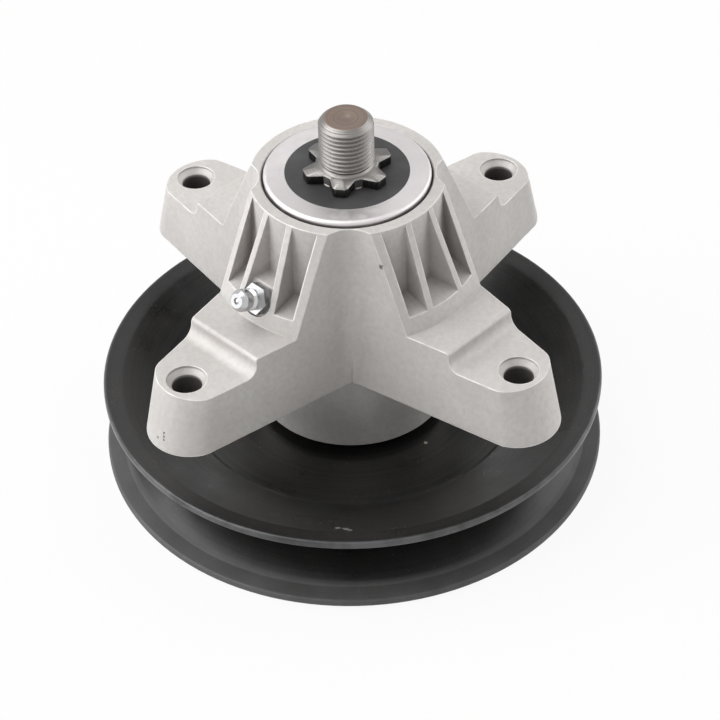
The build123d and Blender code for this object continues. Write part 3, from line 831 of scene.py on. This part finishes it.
# %% Floor
FLOOR_R = 6.0
FLOOR_Z = -0.2 * MM
FLOOR_PALE = (0.8, 0.8, 0.8, 1.0)
WHITE_SHARE = 0.92
floor_mat = bpy.data.materials.new("floor")
floor_mat.use_nodes = True
tree = floor_mat.node_tree
tree.nodes.clear()
pale = tree.nodes.new("ShaderNodeBsdfDiffuse")
pale.inputs["Color"].default_value = FLOOR_PALE
white = tree.nodes.new("ShaderNodeEmission")
share = math_node(tree, "MULTIPLY", seen_rays(tree), WHITE_SHARE)
choose_by(tree, share, pale, white, "ShaderNodeOutputMaterial")
bm = bmesh.new()
bmesh.ops.create_circle(bm, cap_ends=True, segments=96, radius=FLOOR_R)
mesh = bpy.data.meshes.new("floor")
bm.to_mesh(mesh)
bm.free()
mesh.materials.append(floor_mat)
floor = bpy.data.objects.new("floor", mesh)
floor.location.z = FLOOR_Z
bpy.context.scene.collection.objects.link(floor)
print("floor ready")

# %% [markdown]
# ## World
# The world is white where it is seen. For the light that it gives, it is a little warm
# and gets dimmer towards the front, because one even world would light every face alike
# and leave the forms flat.

# %% World
SEEN_WHITE = (1.0, 1.0, 1.0, 1.0)
WARM_WHITE = (1.0, 0.985, 0.965, 1.0)
FRONT_Y, BACK_Y = -0.6, 0.7
FRONT_STRENGTH, BACK_STRENGTH = 0.13, 0.84
world = bpy.data.worlds.new("studio")
bpy.context.scene.world = world
world.use_nodes = True
tree = world.node_tree
tree.nodes.clear()
direction = tree.nodes.new("ShaderNodeTexCoord").outputs["Generated"]
towards_back = split_xyz(tree, direction)[1]
strength = ramp(tree, towards_back, FRONT_Y, BACK_Y, FRONT_STRENGTH, BACK_STRENGTH)
dim = tree.nodes.new("ShaderNodeBackground")
dim.inputs["Color"].default_value = WARM_WHITE
tree.links.new(strength, dim.inputs["Strength"])
bright = tree.nodes.new("ShaderNodeBackground")
bright.inputs["Color"].default_value = SEEN_WHITE
choose_by(tree, seen_rays(tree), dim, bright, "ShaderNodeOutputWorld")
print("world ready")

# %% [markdown]
# ## Softboxes
# Three softboxes give the forms their shade: one high over the left, one low at the left
# for the sides of the legs, and one at the right and a little behind, for the tower's far
# side. Small lamps would do, but a polished face would mirror them as hard spots, and a
# large panel spreads the same light over more of the metal.

# %% Softboxes


def softbox(name, place, aim, width, height, watts):
    light = bpy.data.lights.new(name, "AREA")
    light.shape = "RECTANGLE"
    light.size, light.size_y = width, height
    light.energy = watts
    lamp = bpy.data.objects.new(name, light)
    lamp.location = place
    lamp.rotation_euler = (Vector(aim) - Vector(place)).to_track_quat("-Z", "Y").to_euler()
    bpy.context.scene.collection.objects.link(lamp)


softbox("front_left", (-0.5, -0.05, 0.87), (0, 0, 0.03), width=0.9, height=0.8, watts=5.4)
softbox("side_left", (-0.95, -0.15, 0.45), (0, 0, 0.06), width=1.1, height=0.8, watts=5.6)
softbox("fill_right", (0.92, 0.22, 0.45), (0, 0, 0.07), width=1.1, height=0.8, watts=4.4)

# %% [markdown]
# ## Camera
# A long lens from above gives the calm perspective of a catalogue picture. It looks down
# at about 41 degrees. The place, the three angles and the lens were solved from the
# circles that the photograph shows, such as the pulley's rims. Setting them by eye would
# take longer and end less exact.

# %% Camera
YAW, PITCH, ROLL = 0.00409, 0.72308, -0.0243
CAMERA_PLACE = (0, -0.57287, 0.53358)
LENS_MM, SENSOR_MM = 125.732, 36.0
level = math.cos(PITCH)
forward = Vector((math.sin(YAW) * level, math.cos(YAW) * level, -math.sin(PITCH)))
right = forward.cross(Vector((0, 0, 1))).normalized()
up = right.cross(forward)
turned_right = math.cos(ROLL) * right + math.sin(ROLL) * up
turned_up = -math.sin(ROLL) * right + math.cos(ROLL) * up
lens = bpy.data.cameras.new("camera")
lens.lens = LENS_MM
lens.sensor_width = SENSOR_MM
lens.clip_start = 10 * MM
camera = bpy.data.objects.new("camera", lens)
camera_axes = Matrix((turned_right, turned_up, -forward)).transposed().to_4x4()
camera.matrix_world = Matrix.Translation(CAMERA_PLACE) @ camera_axes
bpy.context.scene.collection.objects.link(camera)
bpy.context.scene.camera = camera
bpy.context.scene.view_settings.view_transform = "Standard"
print("lens", lens.lens)

# %% [markdown]
# The visual model must not outgrow the CAD model, or it would no longer fit the bolts and
# the belt.

# %% Finish
print("scene finished")
